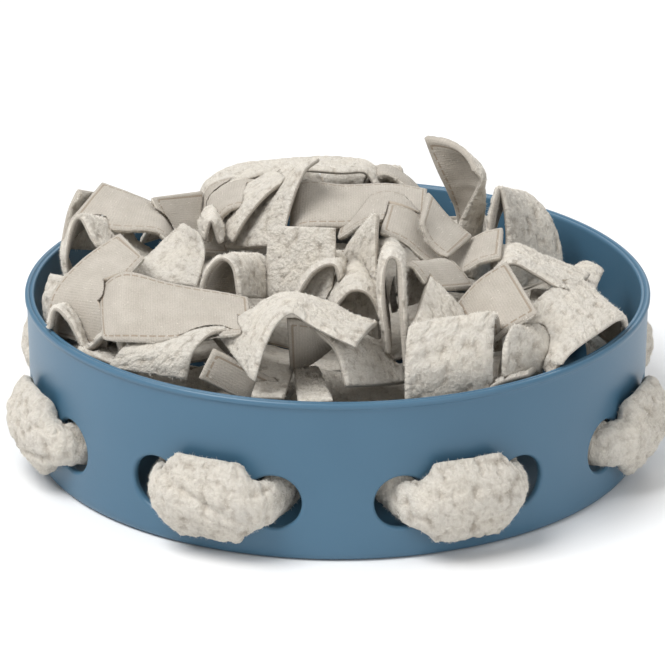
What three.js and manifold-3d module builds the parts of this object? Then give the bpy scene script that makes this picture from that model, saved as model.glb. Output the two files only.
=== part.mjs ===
// Snuffle bowl: a low round plastic bowl with holes round its wall, filled with a loose heap of
// fleece strips, and with fleece straps looped out of one hole and into the next.
// Millimetres, +Z up. The origin is the middle of the underside, and the front faces -Y.
import * as THREE from 'three';
import { mergeVertices } from 'three/addons/utils/BufferGeometryUtils.js';
import Module from 'manifold-3d';

// Bowl
const RIM_RADIUS = 135;
const BOWL_HEIGHT = 70;
const WALL_TOP_RADIUS = 134.2;
const WALL_BASE_RADIUS = 133.6;
const LIP_WIDTH = 4.2;
const BEAD_HEIGHT = 2.4;
const BEAD_ROUND = 0.8;
const FLOOR = 3;
const BASE_ROUND = 2.5;
const INNER_ROUND = 8;
const BOWL_SIDES = 64;

// Holes in the wall, in pairs joined by a strap
const HOLE_COUNT = 16;
const HOLE_RADIUS = 11.5;
const HOLE_EDGE_ROUND = 1.1;
const HOLE_HEIGHT = 25.4;
const HOLE_SIDES = 16;
const HOLE_REACH = 12;
const HOLE_PITCH = 360 / HOLE_COUNT;

// Fleece
const STRIP_WIDTH = 38;
const FLEECE = 3.6;
const GAP = 0.35;
const STRAP_GAP = 0.8;

// How finely a strip is divided: sections for each row of its table, and faces across its
// width when it is nearly flat and when it is curled past CURLED degrees.
const ROW_STEPS = 2;
const FLAT_QUADS = 2;
const CURLED_QUADS = 6;
const CURLED = 45;
const LEAST_CURL = 0.001;
const ROW_NUDGE = 0.01;

// The two creases of a strap lie this far from its middle, as a share of half its width.
const CREASE_PLACE = 1 / 3;

const DEG = Math.PI / 180;

// Each strip of the heap is a table with a row for each place where it turns or bends.
// x, y, z: the middle of the strip there. yaw, rise: the way across it, in degrees, as a
// heading from +X and a slope from level. cup: how far its width is curled, in degrees.
const COLUMNS = ['x', 'y', 'z', 'yaw', 'rise', 'cup'];

// Where two strips meet, the one named first keeps its shape.
const STRIPS = {
  inner_front: [
    [-56, -68, 5, 90, 0, 0], [-72, -72, 30, 90, 0, 0], [-62, -84, 52, 88, 10, 0],
    [-30, -86, 56, 90, 18, 8], [4, -86, 50, 90, 18, 0], [38, -86, 56, 90, 18, 8],
    [66, -80, 52, 80, 34, 0], [84, -63, 48, 0, 90, 0], [64, -46, 52, -90, 24, 0],
    [30, -44, 56, -90, 12, 8], [-8, -44, 50, -90, 12, 0], [-46, -44, 56, -90, 12, 8],
    [-84, -44, 50, -90, 8, 0],
  ],
  inner_middle: [
    [-68, -12, 5, 90, 0, 0], [-88, -12, 30, 90, 0, 0], [-80, -6, 52, 90, 6, 0],
    [-42, -6, 57, 90, 12, 8], [-2, -6, 50, 90, 12, 0], [38, -6, 56, 90, 12, 8],
    [74, -4, 50, 84, 30, 0], [92, 14, 46, 0, 90, 0], [74, 32, 52, -90, 24, 0],
    [38, 34, 57, -90, 12, 8], [0, 34, 50, -90, 12, 0], [-40, 34, 57, -90, 12, 8],
    [-84, 34, 50, -90, 8, 0],
  ],
  inner_back: [
    [-52, 70, 5, 90, 0, 0], [-74, 70, 30, 90, 0, 0], [-66, 74, 52, 90, 6, 0],
    [-32, 74, 57, 90, 10, 8], [2, 74, 50, 90, 10, 0], [36, 74, 56, 90, 14, 0],
    [60, 80, 52, 84, 50, 0], [68, 92, 48, 0, 90, 0], [44, 105, 50, -90, 55, 0],
    [10, 108, 52, -90, 35, 8], [-26, 106, 48, -90, 35, 0], [-54, 96, 48, -70, 30, 0],
  ],
  front_square: [
    [45, -114, 62, 20, 0, 8], [45, -112, 80, 20, 0, 8], [46, -102, 91, 20, 0, 6],
    [48, -94, 88, 20, 0, 0], [50, -88, 72, 20, 0, 0],
  ],
  hood: [
    [-20, -98, 79, 87, -57, 20], [-11, -98, 80, 90, -48, 20], [-2, -97, 83, 70, -24, 15],
    [8, -101, 79, 58, -18, 10], [16, -108, 67, 44, -14, 6],
  ],
  twist: [
    [-41, -105, 78, -66, -10, 0], [-35, -104, 89, -75, 3, 10], [-28, -102, 97, -82, 9, 15],
    [-19, -101, 101, -88, 11, 15], [-7, -103, 97, -101, 9, 12], [2, -106, 93, -102, 10, 12],
    [12, -107, 90, -104, 8, 20],
  ],
  tunnel_front: [
    [-78, -93, 66, 150, -3, 0], [-73, -92, 76, 142, -12, 0], [-62, -86, 81, 128, -18, 0],
    [-50, -82, 80, 112, -16, 0], [-43, -82, 68, 106, -6, 0],
  ],
  front_lump: [
    [79, -91, 66, 48, -10, 0], [80, -90, 76, 46, -16, 8], [79, -82, 81, 60, -20, 8],
    [78, -72, 74, 62, -10, 0], [76, -66, 58, 60, 0, 0],
  ],
  right_square: [
    [81, -80, 67, 114, 6, 0], [86, -76, 76, 116, 8, 4], [100, -58, 80, 116, 12, 10],
    [112, -40, 76, 112, 4, 8], [113, -34, 58, 110, 0, 0],
  ],
  wide_knit: [
    [-98, -62, 80, 95, 12, 0], [-88, -68, 86, 92, 28, -8],
    [-69, -76, 87, 93, 18, -10], [-48, -82, 88, 93, 6, 0], [-36, -84, 88, 93, 0, 0],
  ],
  spike: [
    [16, -42, 116, -89, 22, 0], [12, -44, 105, -72, 24, 20], [10, -48, 86, -62, 17, 30],
    [10, -50, 68, -62, 8, 20],
  ],
  tunnel_mid: [
    [-3, -62, 86, 92, -8, 0], [5, -62, 96, 90, -4, 0], [14, -62, 95, 86, -2, 0],
    [20, -62, 84, 84, -2, 0],
  ],
  double_layer: [
    [21, -76, 76, 90, 2, 0], [18, -72, 98, 90, -4, 0], [20, -68, 110, 90, -10, 0],
    [25, -68, 108, 90, -10, 0], [26, -74, 92, 90, -2, 0], [28, -82, 72, 89, 2, 0],
  ],
  smooth_triangle: [
    [76, -70, 95, -72, -14, 0], [64, -71, 88, -73, -14, -8], [55, -72, 78, -74, -10, 0],
  ],
  sherpa_triangle: [
    [34, -78, 92, -101, -11, 0], [43, -80, 84, -103, -9, 8], [53, -81, 73, -103, -3, 0],
  ],
  knit_arch: [
    [31, -50, 80, 58, -6, 0], [33, -48, 93, 60, -12, 0], [39, -48, 97, 60, -16, 0],
    [48, -52, 87, 58, -16, 0],
  ],
  arch_left: [
    [-52, -40, 66, 70, -16, 0], [-50, -39, 82, 68, -20, 0], [-47, -37, 92, 68, -14, 0],
    [-41, -38, 96, 65, -18, 0], [-36, -40, 92, 65, -20, 0], [-34, -44, 80, 65, -20, 0],
  ],
  left_flap: [
    [-87, -27, 97, -72, 4, 0], [-98, -37, 90, -54, 8, 10], [-107, -47, 80, -44, 10, 15],
    [-110, -52, 64, -44, 6, 0],
  ],
  pointed: [
    [-62, -16, 101, -78, 14, 0], [-66, -30, 95, -54, 14, 8], [-74, -44, 87, -36, 4, 8],
  ],
  curl_left: [
    [-115, 8, 66, 95, -7, 0], [-118, 10, 80, 95, -7, 0], [-111, 12, 92, 80, -16, 0],
    [-103, 10, 95, 66, -22, 0], [-95, 4, 86, 62, -18, 0], [-85, 3, 79, 66, -12, 0],
    [-74, 4, 74, 70, -8, 0],
  ],
  ribbed: [
    [-110, 27, 97, 70, 9, 0], [-94, 23, 95, 80, 4, -8], [-78, 22, 91, 92, -4, -6],
    [-71, 20, 80, 94, -6, 0],
  ],
  far_left: [
    [-108, 44, 96, 74, -22, 0], [-112, 40, 87, 72, -20, 0], [-114, 36, 72, 68, -20, 0],
  ],
  tall_curl: [
    [53, 62, 111, 126, 8, -60], [60, 64, 101, 124, -6, -110], [64, 64, 86, 104, -8, -150],
    [63, 63, 66, 84, 0, -130], [62, 61, 24, 84, 0, -60],
  ],
  standing_right: [
    [68, 45, 74, 84, -14, 0], [71, 49, 86, 80, -18, 0], [77, 53, 93, 70, -22, 0],
    [84, 50, 81, 54, -16, 10], [86, 44, 64, 42, -16, 20], [80, 38, 50, 36, -16, 20],
  ],
  flat_right: [
    [66, -22, 84, 88, -6, 0], [74, -24, 92, 86, -9, 0], [86, -26, 87, 80, -10, 6],
    [102, -30, 80, 72, -8, 6],
  ],
  dark_square: [
    [37, -10, 108, -95, 0, 0], [44, -14, 99, -104, 3, 6], [52, -18, 93, -108, 6, 0],
  ],
  long_curve: [
    [20, -12, 104, 84, -2, 0], [30, -12, 100, 84, 0, 0], [40, -13, 92, 85, 1, 0],
    [52, -14, 87, 84, 1, 0], [62, -15, 92, 84, -1, 0], [70, -15, 94, 86, -2, 0],
  ],
  back_band: [
    [18, 72, 90, 88, -14, 0], [13, 73, 97, 88, -14, 0], [2, 73, 98, 90, -11, 0],
    [-14, 75, 98, 82, -12, 0], [-31, 76, 96, 88, -12, 0], [-46, 74, 93, 93, -9, 0],
    [-57, 70, 87, 97, -10, 0], [-60, 66, 76, 98, -8, 0],
  ],
  light_face: [
    [-14, 38, 112, -70, 22, 0], [-22, 28, 108, -64, 26, 0], [-29, 17, 98, -57, 22, 8],
    [-36, 6, 84, -47, 16, 8],
  ],
  diagonal_band: [
    [-49, 24, 84, 100, -8, 0], [-41, 30, 95, 99, -8, 0], [-30, 36, 103, 97, -12, 0],
    [-18, 44, 106, 96, -14, 0],
  ],
  back_inner: [
    [-59, 46, 80, -84, -4, 0], [-54, 44, 91, -83, -4, 0], [-45, 43, 96, -94, -2, 0],
    [-33, 42, 97, -91, 2, 0],
  ],
  ribbed_panel: [
    [-20, 18, 88, -92, -10, 0], [-16, 18, 99, -92, -12, 0], [3, 18, 99, -90, -8, 0],
    [23, 18, 100, -90, -6, 0], [38, 17, 98, -94, -6, 0],
  ],
  back_right: [
    [12, 80, 80, 88, -10, 0], [16, 79, 91, 88, -12, 0], [22, 79, 94, 88, -14, 0],
    [32, 78, 88, 87, -15, 0], [42, 76, 77, 86, -16, 0],
  ],
  panel: [
    [-15, -36, 109, -41, 12, 0], [-15, -42, 96, -39, 13, 8], [-16, -50, 82, -44, 13, 8],
  ],
  mid_arch: [
    [-15, -46, 86, 84, -9, 0], [-8, -44, 95, 84, -12, 0], [1, -44, 97, 83, -14, 0],
    [4, -46, 86, 83, -10, 0],
  ],
  mid_strip: [
    [2, 5, 94, 85, -4, 0], [15, 5, 103, 85, -2, 0], [26, 5, 103, 89, -2, 0], [38, 4, 97, 86, -6, 0],
  ],
  back_left: [
    [-71, 46, 94, 56, -12, 0], [-66, 40, 83, 52, -18, 8], [-60, 32, 71, 48, -18, 8],
  ],
  small_arch: [
    [-59, 17, 87, 95, -9, 0], [-55, 18, 95, 92, -11, 0], [-50, 17, 86, 88, -8, 0],
  ],
  back_lump: [
    [96, 6, 64, 78, -10, 0], [104, 4, 73, 78, -10, 6], [113, 0, 70, 80, -8, 6],
  ],
  inside_right: [
    [81, -36, 74, 84, -7, 6], [95, -36, 75, 83, -8, 6],
  ],
  rim_wave: [
    [-118, -38, 60, 79, -14, 0], [-114, -40, 75, 76, -16, 0], [-107, -44, 70, 74, -20, 0],
    [-101, -50, 60, 76, -20, 0], [-95, -56, 68, 80, -18, 0], [-91, -60, 73, 84, -18, 0],
    [-87, -64, 64, 86, -16, 0],
  ],
  left_under: [
    [-110, -32, 84, -50, 10, 0], [-114, -38, 72, -53, 6, 0], [-112, -44, 58, -57, 6, 0],
  ],
  rim_left: [
    [-104, -50, 62, 76, -12, 0], [-88, -66, 62, 86, -9, 0], [-76, -74, 56, 90, -4, 0],
    [-62, -82, 56, 88, 0, 0], [-50, -86, 55, 88, 0, 0],
  ],
  fan: [
    [-34, -103, 72, 4, -30, 0], [-40, -105, 60, 4, -30, 0],
  ],
  front_tip: [
    [-33, -101, 66, 84, 0, 6], [-20, -102, 65, 85, -4, 4],
  ],
  front_low: [
    [-17, -106, 65, 93, -1, 4], [-5, -106, 66, 99, -2, 4],
  ],
  rear_left: [
    [-56, 66, 62, 34, 6, 0], [-64, 79, 74, 38, 8, 8], [-70, 92, 70, 42, 4, 8],
    [-76, 100, 56, 42, 0, 0],
  ],
  rear_mid_left: [
    [-24, 88, 77, 8, -4, 0], [-27, 101, 86, 12, -6, 8], [-30, 113, 79, 18, -4, 8],
    [-31, 117, 58, 16, 0, 0],
  ],
  rear_mid: [
    [12, 88, 76, -4, 4, 0], [11, 102, 85, -8, 6, 8], [12, 114, 79, -10, 4, 8],
    [13, 119, 56, -8, 0, 0],
  ],
  rim_right: [
    [60, -92, 54, 78, -4, 0], [68, -92, 64, 74, -9, 4], [84, -84, 66, 70, -8, 4],
  ],
};

// The straps. One strap runs from inside the bowl out through a hole, over the wall and in
// through the next hole. Its table starts at the middle of the loop and has one more column:
// squeeze, which flattens its curl where it is gathered to pass a hole.
const STRAP_COLUMNS = [...COLUMNS, 'squeeze'];
const STRAP_HALF = [
  [0, -145.4, 26.2, 0, 90, -112, 1], [16, -143.2, 26, 0, 90, -116, 0.9],
  [24, -136.2, 25.4, 0, 90, -310, 0.42], [26.4, -124, 25.4, 0, 90, -310, 0.42],
  [28, -108, 28, 0, 90, -170, 0.8],
];
const LOOP_COUNT = HOLE_COUNT / 2;
const LOOP_PITCH = 360 / LOOP_COUNT;
const LOOPS = [
  { name: 'front_right', turn: 0.5, crease: 1.8 }, { name: 'right', turn: 1.5, crease: 1.4 },
  { name: 'back_right', turn: 2.5, crease: 1.6 }, { name: 'rear_right', turn: 3.5, crease: 1.2 },
  { name: 'rear_left', turn: 4.5, crease: 1.6 }, { name: 'back_left', turn: 5.5, crease: 1.3 },
  { name: 'left', turn: 6.5, crease: 1.5 }, { name: 'front_left', turn: 7.5, crease: 1.7 },
];

function strapRows() {
  const mirrored = STRAP_HALF.slice(1).reverse().map(([x, ...rest]) => [-x, ...rest]);
  return [...mirrored, ...STRAP_HALF];
}

// A uniform Catmull-Rom curve through a column of numbers; s runs from 0 to the last row.
function columnAt(column, s) {
  const last = column.length - 1;
  const i = Math.min(Math.floor(s), last - 1);
  const t = s - i;
  const before = column[Math.max(i - 1, 0)];
  const after = column[Math.min(i + 2, last)];
  const start = column[i];
  const end = column[i + 1];
  return start + 0.5 * t * (end - before
    + t * (2 * before - 5 * start + 4 * end - after
    + t * (3 * start - before - 3 * end + after)));
}

// The middle, the way across and the curl of a strip at s rows along its table.
function stripFrame(table, s) {
  const at = {};
  for (const key of Object.keys(table)) at[key] = columnAt(table[key], s);
  return {
    middle: new THREE.Vector3(at.x, at.y, at.z),
    across: new THREE.Vector3(at.acrossX, at.acrossY, at.acrossZ).normalize(),
    cup: at.cup * DEG,
    squeeze: at.squeeze ?? 1,
  };
}

function readTable(rows, columns) {
  const table = {};
  columns.forEach((name, i) => { table[name] = rows.map((row) => row[i]); });
  const { yaw, rise } = table;
  table.acrossX = yaw.map((a, i) => Math.cos(a * DEG) * Math.cos(rise[i] * DEG));
  table.acrossY = yaw.map((a, i) => Math.sin(a * DEG) * Math.cos(rise[i] * DEG));
  table.acrossZ = rise.map((a) => Math.sin(a * DEG));
  delete table.yaw;
  delete table.rise;
  return table;
}

// A closed band from a grid of sections: each section is a ring of points, all of one count.
function solidFromRings(rings) {
  const count = rings[0].length;
  const positions = rings.flat().flatMap((p) => [p.x, p.y, p.z]);
  const index = [];
  for (let i = 0; i < rings.length - 1; i++) {
    for (let j = 0; j < count; j++) {
      const a = i * count + j;
      const b = i * count + (j + 1) % count;
      index.push(a, b, b + count, a, b + count, a + count);
    }
  }
  // Each end is closed by pairing the points of its two faces.
  const capEnd = (first, flip) => {
    for (let j = 0; j < count / 2 - 1; j++) {
      const [a, b, c, d] = [j, j + 1, count - 2 - j, count - 1 - j].map((k) => first + k);
      if (flip) index.push(a, b, c, a, c, d);
      else index.push(a, c, b, a, d, c);
    }
  };
  capEnd(0, false);
  capEnd((rings.length - 1) * count, true);
  const geometry = new THREE.BufferGeometry();
  geometry.setAttribute('position', new THREE.Float32BufferAttribute(positions, 3));
  geometry.setIndex(index);
  return geometry;
}

// A strip of fleece carried along its table, made larger all round by grow. crease is the
// depth of its two lengthwise creases.
function stripGeometry(rows, { grow = 0, columns = COLUMNS, crease = 0 } = {}) {
  const table = readTable(rows, columns);
  const steps = (rows.length - 1) * ROW_STEPS;
  const half = FLEECE / 2 + grow;
  const width = STRIP_WIDTH + 2 * grow;
  const curled = table.cup.some((cup) => Math.abs(cup) > CURLED);
  const count = curled ? CURLED_QUADS : FLAT_QUADS;
  const rings = [];
  for (let i = 0; i <= steps; i++) {
    const s = i / ROW_STEPS;
    const { middle, across, cup, squeeze } = stripFrame(table, s);
    const ahead = stripFrame(table, Math.min(s + ROW_NUDGE, rows.length - 1)).middle;
    const behind = stripFrame(table, Math.max(s - ROW_NUDGE, 0)).middle;
    const along = ahead.sub(behind).normalize();
    const normal = new THREE.Vector3().crossVectors(along, across).normalize();
    if (i === 0) middle.addScaledVector(along, -grow);
    if (i === steps) middle.addScaledVector(along, grow);
    const radius = STRIP_WIDTH / (Math.abs(cup) > LEAST_CURL ? cup : LEAST_CURL);
    const point = (j, height) => {
      const u = 2 * j / count - 1;
      const angle = u * width / (2 * radius);
      const dip = Math.abs(Math.abs(u) - CREASE_PLACE) < 0.5 / count ? crease : 0;
      return middle.clone()
        .addScaledVector(across, radius * Math.sin(angle) - (height - dip) * Math.sin(angle))
        .addScaledVector(normal, squeeze * radius * (1 - Math.cos(angle))
          + (height - dip) * Math.cos(angle));
    };
    const ring = [];
    for (let j = 0; j <= count; j++) ring.push(point(j, -half));
    for (let j = count; j >= 0; j--) ring.push(point(j, half));
    rings.push(ring);
  }
  return solidFromRings(rings);
}

const wasm = await Module();
wasm.setup();

// A closed mesh as a solid, with its faces turned outwards.
function toSolid(geometry) {
  const bare = geometry.clone();
  bare.deleteAttribute('normal');
  bare.deleteAttribute('uv');
  const merged = mergeVertices(bare, 1e-4);
  const points = merged.attributes.position.array;
  const faces = [];
  let volume = 0;
  const corner = (k) => new THREE.Vector3().fromArray(points, 3 * k);
  for (let i = 0; i < merged.index.count; i += 3) {
    const [a, b, c] = merged.index.array.slice(i, i + 3);
    if (a === b || b === c || c === a) continue;
    faces.push([a, b, c]);
    volume += corner(a).dot(corner(b).cross(corner(c)));
  }
  const outward = volume > 0 ? faces : faces.map(([a, b, c]) => [a, c, b]);
  return new wasm.Manifold(new wasm.Mesh({
    numProp: 3,
    vertProperties: new Float32Array(points),
    triVerts: new Uint32Array(outward.flat()),
  }));
}

function toGeometry(solid) {
  const mesh = solid.getMesh();
  const geometry = new THREE.BufferGeometry();
  geometry.setAttribute('position', new THREE.BufferAttribute(mesh.vertProperties, 3));
  geometry.setIndex(new THREE.BufferAttribute(mesh.triVerts, 1));
  geometry.computeVertexNormals();
  return geometry;
}

// A quarter circle of points round a corner, from angle 0 to 90 degrees.
const quarter = (steps, at) => Array.from({ length: steps + 1 }, (_, i) => at(i / steps * Math.PI / 2));

// The wall and floor of the bowl: half a section turned round the axis, made thicker by grow.
function bowlGeometry(grow = 0) {
  const inner = RIM_RADIUS - LIP_WIDTH - grow;
  const floor = FLOOR + grow;
  const top = BOWL_HEIGHT + grow;
  const rim = RIM_RADIUS + grow;
  const bead = BOWL_HEIGHT - BEAD_HEIGHT;
  const points = [
    [0, -grow],
    ...quarter(2, (a) => [
      WALL_BASE_RADIUS + grow - BASE_ROUND * (1 - Math.sin(a)), BASE_ROUND * (1 - Math.cos(a)) - grow]),
    [WALL_TOP_RADIUS + grow, bead - BEAD_ROUND], [rim, bead],
    [rim, top - BEAD_ROUND], [rim - BEAD_ROUND, top], [inner + BEAD_ROUND, top],
    [inner, top - BEAD_ROUND],
    ...quarter(2, (a) => [
      inner - INNER_ROUND * (1 - Math.cos(a)), floor + INNER_ROUND * (1 - Math.sin(a))]),
    [0, floor],
  ];
  return new THREE.LatheGeometry(points.map(([r, z]) => new THREE.Vector2(r, z)), BOWL_SIDES)
    .rotateX(Math.PI / 2);
}

// The space of one hole: a round bar through the wall that flares at its outer face.
function holeGeometry() {
  const wide = HOLE_RADIUS + HOLE_EDGE_ROUND;
  const face = WALL_BASE_RADIUS + (WALL_TOP_RADIUS - WALL_BASE_RADIUS) * HOLE_HEIGHT / BOWL_HEIGHT;
  const points = [
    [0, face - HOLE_REACH], [HOLE_RADIUS, face - HOLE_REACH], [HOLE_RADIUS, face - HOLE_EDGE_ROUND],
    [wide, face], [wide, face + HOLE_REACH], [0, face + HOLE_REACH],
  ];
  return new THREE.LatheGeometry(points.map(([r, y]) => new THREE.Vector2(r, y)), HOLE_SIDES)
    .rotateX(Math.PI).translate(0, 0, HOLE_HEIGHT);
}

function makeBowl() {
  let bowl = toSolid(bowlGeometry());
  for (let i = 0; i < HOLE_COUNT; i++) {
    bowl = bowl.subtract(toSolid(holeGeometry().rotateZ((i + 0.5) * HOLE_PITCH * DEG)));
  }
  return bowl;
}

const largest = (solid) => solid.decompose().reduce((a, b) => (b.volume() > a.volume() ? b : a));

const apart = (a, b) => {
  const [p, q] = [a.boundingBox(), b.boundingBox()];
  return p.min.some((low, i) => low > q.max[i] || q.min[i] > p.max[i]);
};

const PLASTIC = { color: 0x4f7f9f, roughness: 0.35, metalness: 0 };
const TEDDY = { color: 0xd6d0c6, roughness: 0.95, metalness: 0 };

const group = new THREE.Group();

function add(name, solid, finish) {
  const mesh = new THREE.Mesh(toGeometry(solid), new THREE.MeshStandardMaterial(finish));
  mesh.name = name;
  group.add(mesh);
}

add('bowl', makeBowl(), PLASTIC);

// What each new strip has to stay clear of, each thing made larger by the gap.
const inTheWay = [toSolid(bowlGeometry(GAP))];

for (const { name, turn, crease } of LOOPS) {
  const shape = (grow) => toSolid(
    stripGeometry(strapRows(), { grow, columns: STRAP_COLUMNS, crease }).rotateZ(turn * LOOP_PITCH * DEG));
  add(`strap_${name}`, shape(0), TEDDY);
  inTheWay.push(shape(STRAP_GAP));
}

for (const [name, rows] of Object.entries(STRIPS)) {
  let strip = toSolid(stripGeometry(rows));
  for (const other of inTheWay) {
    if (!apart(strip, other)) strip = largest(strip.subtract(other));
  }
  add(`strip_${name}`, strip, TEDDY);
  inTheWay.push(toSolid(stripGeometry(rows, { grow: GAP })));
}

export default group;
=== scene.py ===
# A snuffle bowl: a low round bowl of grey-blue plastic with holes round its wall, filled with a
# loose heap of fleece strips, and with fleece straps looped out of one hole and into the next.
# Metres, +Z up. The origin is the middle of the underside, and the front faces -Y.
import math

import bmesh
import bpy
import numpy as np
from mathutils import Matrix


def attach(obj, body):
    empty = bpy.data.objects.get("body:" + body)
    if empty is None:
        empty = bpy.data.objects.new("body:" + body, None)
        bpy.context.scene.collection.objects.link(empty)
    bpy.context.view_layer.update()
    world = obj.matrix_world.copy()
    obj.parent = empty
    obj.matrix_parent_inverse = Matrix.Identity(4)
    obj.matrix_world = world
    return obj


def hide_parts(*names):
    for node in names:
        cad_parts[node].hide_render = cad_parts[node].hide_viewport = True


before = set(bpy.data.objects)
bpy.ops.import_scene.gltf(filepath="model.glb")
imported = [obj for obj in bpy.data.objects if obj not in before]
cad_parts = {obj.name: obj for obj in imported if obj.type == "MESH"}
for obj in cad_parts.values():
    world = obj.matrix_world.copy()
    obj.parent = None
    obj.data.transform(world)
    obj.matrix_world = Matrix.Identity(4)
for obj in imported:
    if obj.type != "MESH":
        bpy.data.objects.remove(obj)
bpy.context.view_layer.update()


# Camera: level with the photograph's, from the front and a little above, with a long lens.

CAMERA_TARGET = (-0.0022, 0.0, 0.0468)
CAMERA_DISTANCE = 1.552
CAMERA_ELEVATION = math.radians(21.84)
CAMERA_LENS = 193.0

camera_data = bpy.data.cameras.new("camera")
camera_data.lens = CAMERA_LENS
camera_data.sensor_width = 36.0
camera_data.clip_start = 0.01
camera = bpy.data.objects.new("camera", camera_data)
camera.location = (
    CAMERA_TARGET[0],
    -CAMERA_DISTANCE * math.cos(CAMERA_ELEVATION),
    CAMERA_TARGET[2] + CAMERA_DISTANCE * math.sin(CAMERA_ELEVATION),
)
camera.rotation_euler = (math.pi / 2 - CAMERA_ELEVATION, 0.0, 0.0)
bpy.context.scene.collection.objects.link(camera)
bpy.context.scene.camera = camera


# The bowl: one moulded shell of polypropylene. The wall stands nearly straight on a flat base, the
# rim carries a bead with a fine groove inside it, and sixteen round holes with eased edges are
# moulded through the wall.

MM = 0.001
RIM_RADIUS = 135.0
HOLES = 16
HOLE_RADIUS = 11.5
HOLE_HEIGHT = 25.4  # of a hole's middle
HOLE_EDGE = 1.3  # the round of its edge
PATCH_LOW = 10.5  # the band of holes lies between these heights
PATCH_HIGH = 40.5
WALL_OUTSIDE = (133.69, 133.95)  # the wall's radius at those heights
WALL_INSIDE = (129.9, 130.3)
ARC_STEPS = 24  # points along a side of a hole's rectangle, level and upright
RISE_STEPS = 16
RING_STEPS = 9  # rings from the hole's edge to the rectangle, closer together near the hole
RING_CROWDING = 1.6
EDGE_STEPS = 5

# Sections of the bowl below the band, above it and over the rim, and inside, as radius and height.
WALL_BELOW = [
    (0.0, 0.6), (40.0, 0.6), (100.0, 0.6), (126.0, 0.6), (127.2, 0.0), (130.4, 0.0), (131.6, 0.3),
    (132.7, 1.0), (133.3, 2.0), (133.6, 3.4), (133.62, 6.0), (WALL_OUTSIDE[0], PATCH_LOW),
]
WALL_ABOVE = [
    (WALL_OUTSIDE[1], PATCH_HIGH), (134.1, 56.0), (134.17, 65.6), (134.2, 67.0), (134.35, 67.3),
    (134.85, 67.6), (RIM_RADIUS, 68.1), (RIM_RADIUS, 68.9), (134.8, 69.5), (134.3, 69.9),
    (133.7, 70.0), (133.2, 69.8), (132.95, 69.5), (132.7, 69.3), (132.45, 69.5), (132.2, 69.7),
    (131.7, 69.8), (131.2, 69.6), (130.9, 69.1), (130.8, 68.2), (130.6, 56.0),
    (WALL_INSIDE[1], PATCH_HIGH),
]
FLOOR_INSIDE = [
    (WALL_INSIDE[0], PATCH_LOW), (129.2, 7.4), (127.6, 5.2), (125.0, 3.7), (121.6, 3.0), (90.0, 3.0),
    (45.0, 3.0), (0.0, 3.0),
]


def add_mesh(name, points, faces):
    """A mesh object in metres from points in millimetres and a list of face arrays."""
    mesh = bpy.data.meshes.new(name)
    mesh.from_pydata((points * MM).tolist(), [], [f for block in faces for f in block.tolist()])
    mesh.update()
    piece = bpy.data.objects.new(name, mesh)
    bpy.context.scene.collection.objects.link(piece)
    return piece


def quads_between(rows, columns, closed=False, start=0):
    """Faces of a grid of points numbered row by row; closed joins the last column to the first."""
    index = start + np.arange(rows * columns).reshape(rows, columns)
    if closed:
        index = np.concatenate([index, index[:, :1]], axis=1)
    corners = index[:-1, :-1], index[:-1, 1:], index[1:, 1:], index[1:, :-1]
    return np.stack(corners, axis=-1).reshape(-1, 4)


def turned(profile, turns):
    """A profile of radius and height carried round the axis: x and y are the radius times the
    cosine and sine of the turn, and z is the height."""
    profile = np.asarray(profile, float)
    r, z = profile[:, :1], profile[:, 1:]
    return np.stack([r * np.cos(turns), r * np.sin(turns), z + 0 * turns], axis=-1)


def wall_radius(z, inside):
    """The radius of the wall's face, a straight line in height from one edge of the band of holes
    to the other."""
    low, high = WALL_INSIDE if inside else WALL_OUTSIDE
    return low + (high - low) * (z - PATCH_LOW) / (PATCH_HIGH - PATCH_LOW)


def hole_band(inside):
    """One sixteenth of the band of holes: lines from a circle to the edge of a rectangle, laid on
    the round wall. A point is the circle's point plus a share of the way to the rectangle's."""
    half = math.pi / HOLES
    middle = HOLE_HEIGHT
    mean = wall_radius(middle, inside)

    def height_at(s):
        return np.where(s < 0, middle + s * (middle - PATCH_LOW), middle + s * (PATCH_HIGH - middle))

    # Once round the rectangle: along its foot, up one side, back along its top and down the other.
    side = np.linspace(-1, 1, RISE_STEPS + 1)[:-1]
    level = np.linspace(-1, 1, ARC_STEPS + 1)[:-1]
    turn = np.concatenate([
        level * half, np.full(RISE_STEPS, half), -level * half, np.full(RISE_STEPS, -half)])
    height = np.concatenate([
        np.full(ARC_STEPS, PATCH_LOW), height_at(side),
        np.full(ARC_STEPS, PATCH_HIGH), height_at(-side)])
    way = np.arctan2(height - middle, turn * mean)
    share = (np.linspace(0, 1, RING_STEPS + 1) ** RING_CROWDING)[:, None]
    circle = HOLE_RADIUS + HOLE_EDGE
    angle = (1 - share) * circle * np.cos(way) / mean + share * turn
    z = (1 - share) * (middle + circle * np.sin(way)) + share * height
    # The hole's own wall: a quarter round from the face into the bore.
    ease = np.linspace(0, math.pi / 2, EDGE_STEPS + 1)[1:, None]
    size = HOLE_RADIUS + HOLE_EDGE * (1 - np.sin(ease))
    depth = HOLE_EDGE * (1 - np.cos(ease)) * (1 if inside else -1)
    bore_angle = size * np.cos(way) / mean
    bore_z = middle + size * np.sin(way)
    angle = np.concatenate([bore_angle[::-1], angle])
    z = np.concatenate([bore_z[::-1], z])
    set_in = np.broadcast_to(depth[::-1], bore_z.shape)
    radius = wall_radius(z, inside) + np.concatenate([set_in, 0 * z[len(bore_z):]])
    return angle, radius, z


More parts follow.
